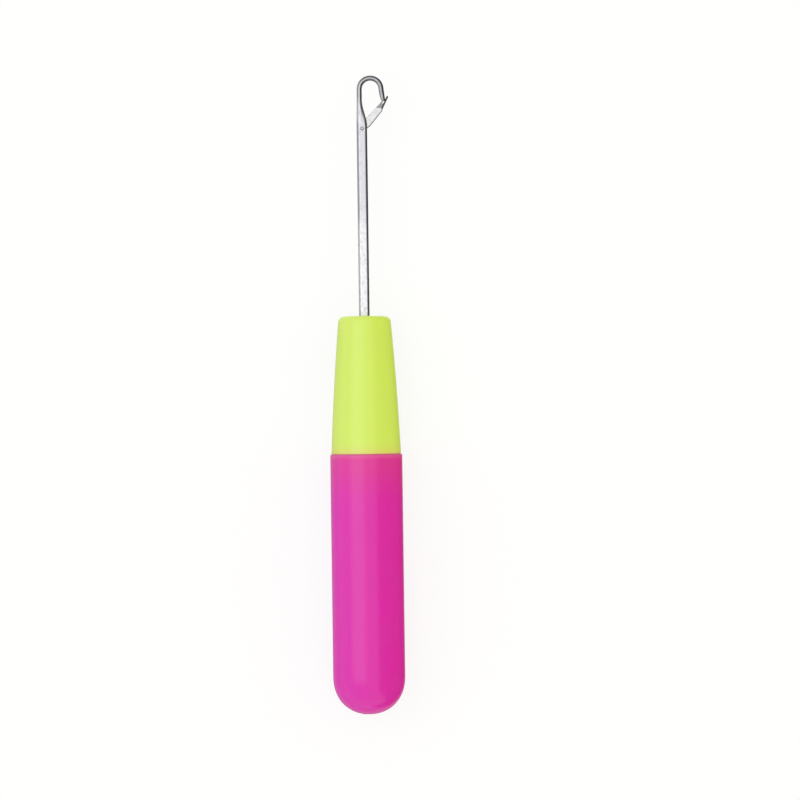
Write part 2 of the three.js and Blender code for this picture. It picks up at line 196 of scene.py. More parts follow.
class Studio(bpy.types.PropertyGroup):
    """Camera, lamp, sky, and the two surfaces that only reflections show."""

    aim: place_of("Aim", "The point that the camera looks straight down at", (8.636 * MM, -1.394 * MM, 0))
    distance: length("Distance", "From the lens to the tool's axis", 1113.6)
    lens: number("Lens", "Focal length in millimetres", 200)
    turn: angle_of("Turn", "Turn of the camera about its view", -0.77)
    key: FloatProperty(name="Key lamp", description="Power of the large lamp", default=0.76, unit="POWER")
    key_size: length("Key lamp's size", "Side of the large lamp", 540)
    key_place: place_of("Key lamp's place", "Middle of the large lamp", (-0.32, 0.05, 0.58))
    cool: tint("Cool side", "the light from the left", (0.83, 0.83, 0.875))
    warm: tint("Warm side", "the light from the right", (1, 0.965, 0.68))
    fill: number("Fill", "Strength of the light from all round", 1.1)
    felt: number("Felt", "Tone of the black flag on the right", 0.06)
    card: number("Card", "Tone of the grey card under the handle", 0.52)


def deselect_all():
    """Leaves edit mode and deselects every object."""
    if bpy.context.object and bpy.context.object.mode != "OBJECT":
        bpy.ops.object.mode_set(mode="OBJECT")
    bpy.ops.object.select_all(action="DESELECT")


def choose(piece):
    """Selects one piece alone and makes it active."""
    deselect_all()
    piece.select_set(True)
    bpy.context.view_layer.objects.active = piece


def edit(piece):
    """Edit mode on one piece alone."""
    choose(piece)
    bpy.ops.object.mode_set(mode="EDIT")


def settle():
    """Leaves the selected piece's place, turn and scale in its mesh."""
    bpy.ops.object.transform_apply(location=True, rotation=True, scale=True)


def pick(piece, test, kind="verts"):
    """Selects what passes a test in edit mode, and nothing else, and returns how much that is."""
    bpy.ops.mesh.select_all(action="DESELECT")
    mode = {"verts": "VERT", "edges": "EDGE", "faces": "FACE"}[kind]
    bpy.ops.mesh.select_mode(type=mode)
    mesh = bmesh.from_edit_mesh(piece.data)
    chosen = [element for element in getattr(mesh, kind) if test(element)]
    for element in chosen:
        element.select_set(True)
    mesh.select_flush_mode()
    bmesh.update_edit_mesh(piece.data)
    return len(chosen)


def named(name):
    """Gives the new active object its name."""
    piece = bpy.context.object
    piece.name = piece.data.name = name
    return piece


def push_on(step):
    """Extrudes what is selected by a step."""
    bpy.ops.mesh.extrude_region_move(TRANSFORM_OT_translate={"value": step})


def draw_outline(name, points):
    """A new piece in edit mode: an open line through the points, all of it selected."""
    deselect_all()
    bpy.ops.mesh.primitive_plane_add(size=MM)
    piece = named(name)
    bpy.ops.object.mode_set(mode="EDIT")
    bpy.ops.mesh.merge(type="CENTER")
    bpy.ops.transform.translate(value=points[0])
    for last, point in zip(points, points[1:]):
        push_on(point - last)
    bpy.ops.mesh.select_all(action="SELECT")
    return piece


def around(angle, profile):
    """Points of a [radius, y] profile on the half plane at an angle from +X towards +Z."""
    return [Vector((r * cos(angle), y, r * sin(angle))) for r, y in profile]


def spin_on(steps, angle):
    """Turns the selected outline on about the tool's axis."""
    bpy.ops.mesh.spin(steps=steps, angle=angle, center=(0, 0, 0), axis=(0, 1, 0))


def close_up(tolerance=1e-6):
    """Merges the seams and poles of the piece in edit mode and turns its faces outwards."""
    bpy.ops.mesh.select_all(action="SELECT")
    bpy.ops.mesh.remove_doubles(threshold=tolerance)
    bpy.ops.mesh.select_all(action="SELECT")
    bpy.ops.mesh.normals_make_consistent(inside=False)


def cylinder(name, sides, radius, depth, location=(0, 0, 0)):
    """A new upright cylinder."""
    deselect_all()
    bpy.ops.mesh.primitive_cylinder_add(vertices=sides, radius=radius, depth=depth, location=location)
    return named(name)


def cut_with(piece, cutter, operation="DIFFERENCE"):
    """Cuts a piece with another, or joins the other to it, and removes the other."""
    choose(piece)
    cut = piece.modifiers.new("Cut", "BOOLEAN")
    cut.object, cut.operation, cut.solver = cutter, operation, "EXACT"
    bpy.ops.object.modifier_apply(modifier=cut.name)
    bpy.data.objects.remove(cutter)


def place(piece, location, turn=0.0):
    """Moves a piece to its place, turned about Z, and leaves the place in its mesh."""
    choose(piece)
    piece.location = location
    piece.rotation_euler.z = turn
    settle()


def finish_piece(piece, node, body, material):
    """Lifts a piece to the tool's axis, shades it, and puts it in the CAD node's place."""
    place(piece, (0, 0, AXIS_HEIGHT))
    bpy.ops.object.shade_smooth_by_angle(angle=SMOOTH_UP_TO)
    piece.data.materials.clear()
    piece.data.materials.append(material)
    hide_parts(node)
    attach(piece, body)


def eased(share):
    """A share from 0 to 1, eased at both ends."""
    share = min(max(share, 0), 1)
    return share * share * (3 - 2 * share)


def rounding(to_end, least):
    """Share of its full width that a round end has, to_end times its radius short of the end."""
    to_end = min(max(to_end, least), 1)
    return sqrt(1 - (1 - to_end) ** 2)


def along(table, at):
    """A value read off a list of (place, value) pairs, eased between them."""
    if at <= table[0][0]:
        return table[0][1]
    for (start, low), (end, high) in zip(table, table[1:]):
        if at <= end:
            return low + (high - low) * eased((at - start) / (end - start))
    return table[-1][1]


def dome(pole, radius, height, power, steps):
    """Points of a dome from its pole to its full radius."""
    points = []
    for i in range(steps + 1):
        from_pole = height * (1 - cos(i * pi / 2 / steps))
        fall = (1 - from_pole / height) ** power if i < steps else 0
        points.append((radius * (1 - fall) ** (1 / power), pole + from_pole))
    return points


def spread(start, end, steps):
    """Evenly spread numbers, both ends included."""
    return [start + (end - start) * i / steps for i in range(steps + 1)]


def arc(radius, y, size, start, end, steps):
    """Points of a round edge about (radius, y)."""
    return [(radius + size * cos(a), y + size * sin(a)) for a in spread(start, end, steps)]


def rounded_section(name, half_across, half_thick, corner, flats=(6, 3), segments=5):
    """A new piece in edit mode: a rounded rectangle that faces -Y, with points along its flats."""
    deselect_all()
    bpy.ops.mesh.primitive_plane_add(size=2, rotation=(pi / 2, 0, 0))
    piece = named(name)
    piece.scale = (half_across, half_thick, 1)
    settle()
    bpy.ops.object.mode_set(mode="EDIT")
    bpy.ops.mesh.select_all(action="SELECT")
    bpy.ops.mesh.bevel(offset=corner, segments=segments, affect="VERTICES")
    for cuts, axis, half in zip(flats, (0, 2), (half_across, half_thick)):
        reach = half - 1.01 * corner

        def is_flat(edge):
            ends = [vert.co[axis] for vert in edge.verts]
            return abs(ends[0] - ends[1]) > reach

        if cuts and pick(piece, is_flat, "edges"):
            bpy.ops.mesh.subdivide(number_cuts=cuts)
    bpy.ops.mesh.select_mode(type="FACE")
    bpy.ops.mesh.select_all(action="SELECT")
    return piece


def selected_reach(piece):
    """(middle, half size) of what is selected in edit mode."""
    mesh = bmesh.from_edit_mesh(piece.data)
    points = [vert.co for vert in mesh.verts if vert.select]
    low = Vector([min(values) for values in zip(*points)])
    high = Vector([max(values) for values in zip(*points)])
    return (low + high) / 2, (high - low) / 2


def fit_section(piece, middle_x, half_across, half_thick):
    """Moves and scales the selected section to a middle and half sizes."""
    middle, half = selected_reach(piece)
    factors = (half_across / half.x, 1, half_thick / half.z)
    bpy.ops.transform.resize(value=factors, center_override=middle)
    bpy.ops.transform.translate(value=(middle_x - middle.x, 0, 0))


class NodeTree:
    """Adds nodes to a node tree and joins them."""

    def __init__(self, tree):
        self.nodes, self.links = tree.nodes, tree.links

    def add(self, kind, sockets=None, **settings):
        """A new node. A socket's value is a number, a colour, or another node's output."""
        node = self.nodes.new(kind)
        for key, value in settings.items():
            setattr(node, key, value)
        for key, value in (sockets or {}).items():
            if isinstance(value, bpy.types.NodeSocket):
                self.links.new(value, node.inputs[key])
            else:
                node.inputs[key].default_value = value
        node.location = (200 * (len(self.nodes) % 8), -260 * (len(self.nodes) // 8))
        return node

    def math(self, operation, *values, clamp=False):
        """The output of a Math node."""
        node = self.add("ShaderNodeMath", dict(enumerate(values)), operation=operation, use_clamp=clamp)
        return node.outputs[0]

    def times(self, first, second):
        """The output of a Math node that multiplies."""
        return self.math("MULTIPLY", first, second)

    def span(self, value, start, end, low=0.0, high=1.0):
        """The output of a Map Range node that eases from low at start to high at end."""
        sockets = {"Value": value, "From Min": start, "From Max": end, "To Min": low, "To Max": high}
        return self.add("ShaderNodeMapRange", sockets, interpolation_type="SMOOTHSTEP").outputs[0]

    def blend(self, factor, first, second):
        """The colour output of a Mix node."""
        sockets = {0: factor, 6: first, 7: second}
        return self.add("ShaderNodeMix", sockets, data_type="RGBA").outputs[2]

    def noise(self, vector, scale, detail=2.0, roughness=0.5):
        """The value output of a Noise Texture."""
        sockets = {"Vector": vector, "Scale": scale, "Detail": detail, "Roughness": roughness}
        return self.add("ShaderNodeTexNoise", sockets).outputs[0]

    def coordinates(self, kind="Object"):
        """One output of a Texture Coordinate node."""
        return self.add("ShaderNodeTexCoord").outputs[kind]

    def stretched(self, vector, scale):
        """Coordinates stretched by a Mapping node."""
        return self.add("ShaderNodeMapping", {"Vector": vector, "Scale": scale}).outputs[0]

    def axes(self, vector):
        """The outputs of a Separate XYZ node."""
        return self.add("ShaderNodeSeparateXYZ", {0: vector}).outputs

    def matt(self, tone):
        """The output of a Diffuse BSDF of a grey tone."""
        return self.add("ShaderNodeBsdfDiffuse", {"Color": rgba((tone, tone, tone))}).outputs[0]

    def grouped(self, name, make, sockets=None):
        """A node of a group, which is made when it is first used."""
        group = bpy.data.node_groups.get(name) or make(name)
        return self.add("ShaderNodeGroup", sockets, node_tree=group)


def new_group(name, inputs, outputs):
    """A shader node group: (group, its tree builder, its inputs, its outputs). Tuples are colours."""
    group = bpy.data.node_groups.new(name, "ShaderNodeTree")
    for in_out, sockets in (("INPUT", inputs), ("OUTPUT", outputs)):
        for label, default in sockets.items():
            kind = "NodeSocketColor" if isinstance(default, tuple) else "NodeSocketFloat"
            socket = group.interface.new_socket(label, in_out=in_out, socket_type=kind)
            socket.default_value = default
    tree = NodeTree(group)
    return group, tree, tree.add("NodeGroupInput").outputs, tree.add("NodeGroupOutput").inputs


WHITE, BLACK = (1.0, 1.0, 1.0, 1.0), (0.0, 0.0, 0.0, 1.0)


def moulded_skin(name):
    """Moulded plastic: cloudy tone, faint flow lines along the mould, and a satin, spark-eroded skin."""
    group, tree, given, out = new_group(
        name,
        {"Colour": WHITE, "Shade": BLACK, "Clouds": 0.12, "Roughness": PLASTIC_ROUGHNESS},
        {"Colour": WHITE, "Roughness": 0.5, "Height": 0.0},
    )
    place_on = tree.coordinates()
    clouds = tree.noise(place_on, 160, 3)
    flow = tree.noise(tree.stretched(place_on, (1, 0.08, 1)), 900, 2)
    grain = tree.noise(place_on, 6500, 2)
    mixed = tree.math("ADD", tree.times(clouds, 0.7), tree.times(flow, 0.3))
    amount = tree.times(tree.span(mixed, 0.32, 0.68), given["Clouds"])
    tree.links.new(tree.blend(amount, given["Colour"], given["Shade"]), out["Colour"])
    rough = tree.math("ADD", given["Roughness"], tree.span(clouds, 0.3, 0.7, 0, 0.05))
    tree.links.new(rough, out["Roughness"])
    height = tree.math("ADD", tree.times(flow, 0.35), tree.times(grain, 0.65))
    tree.links.new(height, out["Height"])
    return group


def ground_steel(name):
    """Drawn and ground steel: fine lines along the tool, and mottled specks where it was pickled."""
    group, tree, given, out = new_group(
        name,
        {"Colour": WHITE, "Dark": BLACK, "Lines": 0.1, "Specks": 0.15, "Roughness": STEEL_ROUGHNESS},
        {"Colour": WHITE, "Roughness": 0.5, "Height": 0.0},
    )
    place_on = tree.coordinates()
    lines = tree.noise(tree.stretched(place_on, (1, 0.05, 1)), 5000, 3, 0.6)
    specks = tree.noise(tree.stretched(place_on, (1, 0.55, 1)), 2100, 2, 0.6)
    spots = tree.span(specks, 0.45, 0.7)
    line_tone = tree.times(tree.span(lines, 0.35, 0.7), given["Lines"])
    speck_tone = tree.times(spots, given["Specks"])
    amount = tree.math("ADD", line_tone, speck_tone, clamp=True)
    tree.links.new(tree.blend(amount, given["Colour"], given["Dark"]), out["Colour"])
    rough = tree.math("ADD", given["Roughness"], tree.span(specks, 0.3, 0.7, 0, 0.1))
    tree.links.new(rough, out["Roughness"])
    height = tree.math("ADD", tree.times(lines, 0.6), tree.times(spots, -0.4))
    tree.links.new(height, out["Height"])
    return group


def flank_mask(name):
    """1 where the surface faces sideways, 0 on the flat sides that face up or down: painted edge shade."""
    # These limits darken edges from a few degrees off flat, painting shade over the lamp's highlight there
    limits = {"Start": 0.9995, "End": 0.978}
    group, tree, given, out = new_group(name, limits, {"Mask": 0.0})
    upright = tree.axes(tree.coordinates("Normal"))["Z"]
    mask = tree.span(tree.math("ABSOLUTE", upright), given["Start"], given["End"])
    tree.links.new(mask, out["Mask"])
    return group


def distance_from(tree, x, y):
    """Distance from an upright line through (x, y), over the surface."""
    sockets = {0: tree.coordinates(), 1: (1, 1, 0)}
    flat = tree.add("ShaderNodeVectorMath", sockets, operation="MULTIPLY").outputs[0]
    sockets = {0: flat, 1: (x, y, 0)}
    return tree.add("ShaderNodeVectorMath", sockets, operation="DISTANCE").outputs["Value"]


def bare_material(name):
    """A material without nodes, and the builder that adds them."""
    material = bpy.data.materials.new(name)
    material.use_nodes = True
    material.node_tree.nodes.clear()
    return material, NodeTree(material.node_tree)


def new_material(name, constants):
    """A material with a Principled BSDF whose constant sockets are set: (material, builder, shader)."""
    material, tree = bare_material(name)
    shader = tree.add("ShaderNodeBsdfPrincipled", constants)
    tree.add("ShaderNodeOutputMaterial", {"Surface": shader.outputs[0]})
    return material, tree, shader


def dress(tree, shader, base, skin, strength, distance):
    """Feeds a base colour, and the roughness and the height of a group's node, to a shader."""
    tree.links.new(base, shader.inputs["Base Color"])
    tree.links.new(skin.outputs["Roughness"], shader.inputs["Roughness"])
    sockets = {"Height": skin.outputs["Height"], "Strength": strength, "Distance": distance}
    tree.links.new(tree.add("ShaderNodeBump", sockets).outputs[0], shader.inputs["Normal"])


def rgba(colour):
    """A colour with full alpha."""
    return (*colour, 1)


def darker(colour, share):
    """A colour brought down to a share of itself."""
    return [channel * share for channel in colour]


def plastic(name, colour, shade, gloss, blushes):
    """Satin plastic, with clouds darkened to the share shade. A blush, painted bounce light, is (colour,
    start, end, share).
    """
    constants = {
        "Specular IOR Level": gloss,
        "Subsurface Weight": 0.15,
        "Subsurface Radius": (1, 0.7, 0.7),
        "Subsurface Scale": 1.2 * MM,
    }
    material, tree, shader = new_material(name, constants)
    sockets = {"Colour": rgba(colour), "Shade": rgba(darker(colour, shade))}
    skin = tree.grouped("Moulded skin", moulded_skin, sockets)
    y = tree.axes(tree.coordinates())["Y"]
    base = skin.outputs["Colour"]
    # Each blush paints bounce light from the neighbouring part, fading away from the joint
    for tone, start, end, share in blushes:
        base = tree.blend(tree.span(y, start, end, share, 0), base, rgba(tone))
    dress(tree, shader, base, skin, strength=0.35, distance=0.04 * MM)
    return material


def steel(name, colour, dark, line, speck, marks):
    """Ground steel. marks(tree, grind, flank) adds nodes and returns a mask of painted shade and darker
    tones.
    """
    material, tree, shader = new_material(name, {"Metallic": 1.0})
    sockets = {"Colour": rgba(colour), "Dark": rgba(dark), "Lines": line, "Specks": speck}
    grind = tree.grouped("Ground steel", ground_steel, sockets)
    flank = tree.grouped("Flank mask", flank_mask)
    mask = marks(tree, grind, flank.outputs["Mask"])
    # The mask blends towards the dark colour: painted shade on edges and flanks, and a few darker tones
    base = tree.blend(mask, grind.outputs["Colour"], rgba(dark))
    dress(tree, shader, base, grind, strength=0.15, distance=0.03 * MM)
    return material


class HookOperator:
    """What the operators of this tool share."""

    bl_options = {"REGISTER", "UNDO"}

    def execute(self, context):
        self.build(context.scene.crochet_hook)
        return {"FINISHED"}


class HOOK_OT_barrel(HookOperator, bpy.types.Operator):
    """Model the barrel: a cup turned from its outline, with the mould's parting lines and gate mark"""

    bl_idname = "crochet_hook.barrel"
    bl_label = "Model barrel"

    def build(self, settings):
        size = settings.barrel
        outside = dome(DOME_POLE, size.radius, size.dome_height, size.dome_power, steps=30)
        clear_of_gate = 1.15 * size.gate
        outside = [point for point in outside if point[0] > clear_of_gate]

        # The gate mark is a shallow disc, sunk into the dome
        rise, disc_radius = 0.06 * size.gate, 0.86 * size.gate
        bottom = DOME_POLE + 2 * rise
        gate = [(0, bottom), (disc_radius, bottom), (size.gate, DOME_POLE + rise)]
        straight = [(size.radius, y) for y in spread(outside[-1][1], BARREL_MOUTH - size.lip, 8)[1:-1]]
        lip = arc(size.radius - size.lip, BARREL_MOUTH - size.lip, size.lip, 0, pi / 2, steps=8)
        wall = size.radius - size.bore
        lead = [(size.bore + size.lip, BARREL_MOUTH), (size.bore, BARREL_MOUTH - size.lip)]
        inside = dome(DOME_POLE + wall, size.bore, size.dome_height - wall, size.dome_power, steps=12)
        profile = gate + outside + straight + lip + lead + inside[::-1]
        piece = draw_outline("barrel_shell", around(size.parting_angle, profile))

        # Each of the two parting lines is a narrow strip between two small steps of the turning
        small = radians(0.7)
        for _ in range(2):
            spin_on(1, small)
            spin_on(size.sides // 2, pi - 2 * small)
            spin_on(1, small)
        close_up()
        parting_way = Vector((cos(size.parting_angle), 0, sin(size.parting_angle)))
        outside_bore = size.bore + 1.5 * size.lip
        dome_end = DOME_POLE + size.dome_height - 1.2 * wall

        def on_line(vert):
            flat = Vector((vert.co.x, 0, vert.co.z))
            on_wall = flat.length > outside_bore
            on_dome = size.gate < flat.length and vert.co.y < dome_end and vert.normal.y < 0
            return (on_wall or on_dome) and abs(flat.normalized().dot(parting_way)) > 0.99999

        if not pick(piece, on_line):
            raise RuntimeError("no parting line was found on the barrel")
        bpy.ops.transform.shrink_fatten(value=size.parting)
        colours = settings.finishes
        # Painted bounce light from the lime nose, on the barrel near its mouth
        blushes = (
            (colours.pink_blush, BARREL_MOUTH, BARREL_MOUTH - 14 * MM, 0.7),
            (colours.pink_lip, BARREL_MOUTH, BARREL_MOUTH - 1.6 * MM, 0.6),
        )
        material = plastic("Pink plastic", colours.pink, shade=0.82, gloss=0.5, blushes=blushes)
        finish_piece(piece, "handle_barrel", "handle", material)


class HOOK_OT_nose(HookOperator, bpy.types.Operator):
    """Model the nose: a swollen cone turned with its spigot, and cut for the needle"""

    bl_idname = "crochet_hook.nose"
    bl_label = "Model nose"

    def build(self, settings):
        size, needle = settings.nose, settings.needle
        seat = BARREL_MOUTH + size.seat_gap
        front = NOSE_FACE - size.edge

        def cone(y):
            share = (NOSE_FACE - y) / (NOSE_FACE - BARREL_MOUTH)
            straight = size.front_radius + (size.rear_radius - size.front_radius) * share
            return straight + size.bulge * sin(pi * share)

        chamfer = 0.13 * size.spigot_radius
        spigot = [
            (0, SPIGOT_END),
            (size.spigot_radius - chamfer, SPIGOT_END),
            (size.spigot_radius, SPIGOT_END + chamfer),
            (size.spigot_radius, seat),
        ]
        flank = [(cone(y), y) for y in spread(seat, front, 24)]
        edge = arc(cone(front) - size.edge, front, size.edge, start=0.03, end=pi / 2, steps=12)
        inset = [(share * edge[-1][0], NOSE_FACE) for share in (0.72, 0.4, 0)]
        piece = draw_outline("nose_shell", around(0, spigot + flank + edge + inset))
        spin_on(size.sides, 2 * pi)
        close_up()

        # The pocket round the tang shows as a hairline where the needle comes out
        gap = size.pocket_gap
        half_thick = needle.thickness / 2 + gap
        pocket = rounded_section("pocket", STEM_HALF + gap, half_thick, needle.corner + gap)
        push_on((0, NOSE_FACE - TANG_END + 2 * gap + MM, 0))
        close_up()
        place(pocket, (0, TANG_END - 2 * gap, 0))
        cut_with(piece, pocket)
        colours = settings.finishes
        # Painted bounce light from the pink barrel, on the nose near the joint
        blushes = (
            (colours.lime_blush, BARREL_MOUTH, BARREL_MOUTH + 3.2 * MM, 0.22),
            (colours.lime_blush, BARREL_MOUTH, BARREL_MOUTH + 0.9 * MM, 0.4),
        )
        material = plastic("Lime plastic", colours.lime, shade=0.88, gloss=0.6, blushes=blushes)
        finish_piece(piece, "handle_nose", "handle", material)


class HOOK_OT_needle(HookOperator, bpy.types.Operator):
    """Model the needle: a flat stem extruded, rounded into wire, spun into the hook, slotted and drilled"""

    bl_idname = "crochet_hook.needle"
    bl_label = "Model needle"

    def build(self, settings):
        size, latch = settings.needle, settings.latch
        wire = size.wire / 2
        half_thick = size.thickness / 2

        # The tang's chamfered end, and then the stem
        chamfer = 0.5 * MM
        piece = rounded_section("needle_blade", STEM_HALF, half_thick, size.corner)
        bpy.ops.transform.resize(value=(1 - chamfer / STEM_HALF, 1, 1 - chamfer / 2 / half_thick))
        bpy.ops.transform.translate(value=(0, TANG_END, 0))
        push_on((0, chamfer, 0))
        fit_section(piece, 0, STEM_HALF, half_thick)
        last = TANG_END + chamfer
        flat_past_pivot = 0.6 * MM
        throat_start = PIVOT.y + flat_past_pivot
        for y in (*spread(last, NOSE_FACE, 3)[1:], *spread(NOSE_FACE, throat_start, 8)[1:]):
            push_on((0, y - last, 0))
            last = y

        # The throat: the front edge runs in to the wire while the section turns from flat to round
        bend_centre = Vector((-STEM_HALF + size.inset + wire + size.bend, CROWN - size.bend - wire, 0))
        throat_end = throat_start + size.throat
        front_edge = [(throat_start, STEM_HALF), (throat_end, size.inset - STEM_HALF + size.wire)]
        back_edge = [(throat_start, -STEM_HALF), (bend_centre.y, size.inset - STEM_HALF)]
        thick = [(throat_start, half_thick), (throat_end, wire)]
        roundness = [(throat_start, 0), (throat_end, 1)]
        rounded = 0
        for y in spread(throat_start, bend_centre.y, 26)[1:]:
            push_on((0, y - last, 0))
            last = y
            wanted = along(roundness, y)
            if rounded < 1:
                bpy.ops.transform.tosphere(value=min(1, (wanted - rounded) / (1 - rounded)))
            rounded = wanted
            front, back = along(front_edge, y), along(back_edge, y)
            fit_section(piece, (front + back) / 2, (front - back) / 2, along(thick, y))

        # The bend, then the arm, whose inner side narrows to the tip and whose end is round
        bpy.ops.mesh.spin(steps=44, angle=pi - size.lean, center=bend_centre, axis=(0, 0, 1))
        way = Vector((sin(size.lean), -cos(size.lean), 0))
        outward = Vector((cos(size.lean), sin(size.lean), 0))
        start = bend_centre + outward * size.bend
        steps, blunt, thinning = 18, 0.4, 0.6
        run, scale, thick_scale = 0, 1, 1
        for i in range(1, steps + 1):
            now = size.arm * sin(i * pi / 2 / steps)
            push_on(way * (now - run))
            run = now
            to_end = (size.arm - run) / size.tip_round
            end_round = blunt + (1 - blunt) * rounding(to_end, least=0.02)
            across = (wire + (size.tip - wire) * (run / size.arm) ** 3) / wire
            upright = 1 - thinning * (1 - across)
            wanted, wanted_thick = across * end_round, upright * end_round
            middle = start + way * run + outward * (wire - across * wire)
            here = selected_reach(piece)[0]
            factors = (wanted / scale, wanted / scale, wanted_thick / thick_scale)
            bpy.ops.transform.resize(value=factors, center_override=here)
            bpy.ops.transform.translate(value=middle - here)
            scale, thick_scale = wanted, wanted_thick
        close_up(1e-7)

        self.saw_slot(piece, size, latch)
        notch_depth = 0.4 * MM
        notch_x = STEM_HALF + size.notch - notch_depth
        for x in (-notch_x, notch_x):
            for from_end in (7 * MM, 16 * MM):
                there = (x, TANG_END + from_end, 0)
                cut_with(piece, cylinder("notch", 32, size.notch, 2 * size.thickness, there))
        colours = settings.finishes
        dark = darker(colours.steel_dark, 0.5)
        material = steel("Needle steel", colours.steel, dark, line=0.06, speck=0.14, marks=self.dark_places)
        finish_piece(piece, "needle", "handle", material)

    def saw_slot(self, piece, size, latch):
        """Cuts the latch's slot, with a saw's round run-out, and the rivet's hole."""
        clearance = 0.08 * MM
        open_x, floor_x = STEM_HALF + MM, -size.slot_floor

        def top(x):
            return PIVOT.y + (latch.eye + clearance + x * cos(latch.angle)) / sin(latch.angle)

        saw_x = floor_x + size.saw
        saw_angle = acos((saw_x - STEM_HALF) / size.saw)
        saw_y = PIVOT.y - size.slot_reach + size.saw * sin(saw_angle)
        deselect_all()
        bpy.ops.mesh.primitive_cube_add(size=2)
        block = named("slot_block")
        middle = (open_x + floor_x) / 2
        block.scale = ((open_x - floor_x) / 2, (top(floor_x) - saw_y) / 2, size.slot / 2)
        block.location = (middle, (top(floor_x) + saw_y) / 2, 0)
        settle()
        edit(block)
        pick(block, lambda vert: vert.co.x > middle and vert.co.y > saw_y + MM)
        bpy.ops.transform.translate(value=(0, top(open_x) - top(floor_x), 0))
        cut_with(piece, block)
        cut_with(piece, cylinder("saw", 160, size.saw, size.slot, (saw_x, saw_y, 0)))
        press_gap = 0.02 * MM
        cut_with(piece, rivet_solid("rivet_hole", size, latch, press_gap, domed=False))

    def dark_places(self, tree, grind, flank):
        """Painted shade on the edges, a darker bend and arm, and paler, more speckled steel near the nose.
        """
        x, y, _ = tree.axes(tree.coordinates())
        facing = tree.axes(tree.coordinates("Normal"))["Y"]

        # Near the nose the steel is as it was pickled
        plain = tuple(grind.inputs["Colour"].default_value)
        pickled = rgba(bpy.context.scene.crochet_hook.finishes.pickled)
        near_nose = tree.span(y, 47 * MM, 40 * MM)
        tree.links.new(tree.blend(near_nose, plain, pickled), grind.inputs["Colour"])
        tree.links.new(tree.span(near_nose, 0, 1, 0.13, 0.27), grind.inputs["Specks"])

        # Painted shade on the edges, more where the bend faces along the tool, and less at the throat
        bend = tree.span(y, CROWN - 3 * MM, CROWN - 0.8 * MM)
        endways = tree.span(tree.math("ABSOLUTE", facing), 0.15, 0.6)
        edge = tree.math("ADD", 0.7, tree.times(tree.times(bend, endways), 0.3))
        mid_throat = PIVOT.y + 4.5 * MM
        from_throat = tree.math("ABSOLUTE", tree.math("SUBTRACT", y, mid_throat))
        edge = tree.times(edge, tree.span(from_throat, 1.5 * MM, 4 * MM, 0.65, 1))
        edge = tree.times(edge, tree.span(near_nose, 0, 1, 1, 0.8))

        # The bend and the arm are darkened all round
        arm = tree.span(x, 3.2 * MM, 4.4 * MM, 0, 0.45)
        dulled = tree.math("MAXIMUM", arm, tree.times(bend, 0.3))
        return tree.math("MAXIMUM", tree.times(flank, edge), dulled, clamp=True)


def rivet_solid(name, needle, latch, grow=0, domed=True):
    """The rivet turned from its outline, upright at the pivot, or with flat ends a cutter for its hole."""
    half = needle.thickness / 2
    flare = 0.2 * MM
    shank, head = latch.rivet + grow, latch.rivet_head + grow
    if domed:
        proud, crown_share, crown_end = 0.04 * MM, 0.8, 1.35
        turns = spread(0, crown_end, 5)
        crown = [(crown_share * head * cos(a), half + proud * sin(a)) for a in turns]
    else:
        proud = MM
        crown = [(head, half + proud)]
    upper = [(shank, 0), (shank, half - flare), (head, half), *crown, (0, half + proud)]
    lower = [(radius, -y) for radius, y in upper[:0:-1]]
    piece = draw_outline(name, around(0, lower + upper))
    spin_on(48, 2 * pi)
    close_up()
    choose(piece)
    piece.rotation_euler.x = pi / 2
    settle()
    place(piece, (PIVOT.x, PIVOT.y, 0))
    return piece


class HOOK_OT_rivet(HookOperator, bpy.types.Operator):
    """Model the rivet that the latch turns on, with its flared and slightly domed ends"""

    bl_idname = "crochet_hook.rivet"
    bl_label = "Model rivet"

    def build(self, settings):
        piece = rivet_solid("latch_pin", settings.needle, settings.latch)
        colours = settings.finishes
        dark = colours.steel_dark
        material = steel("Rivet steel", colours.plate, dark, line=0.0, speck=0.1, marks=self.dark_rim)
        finish_piece(piece, "latch_rivet", "handle", material)

    def dark_rim(self, tree, grind, flank):
        """Painted shade in a ring on the rivet's head, round an unshaded spot a little off the middle."""
        struck = distance_from(tree, PIVOT.x + 0.08 * MM, PIVOT.y + 0.06 * MM)
        inner = tree.span(struck, 0.12 * MM, 0.24 * MM)
        outer = tree.span(distance_from(tree, PIVOT.x, PIVOT.y), 0.45 * MM, 0.52 * MM, 1, 0)
        return tree.times(inner, outer)


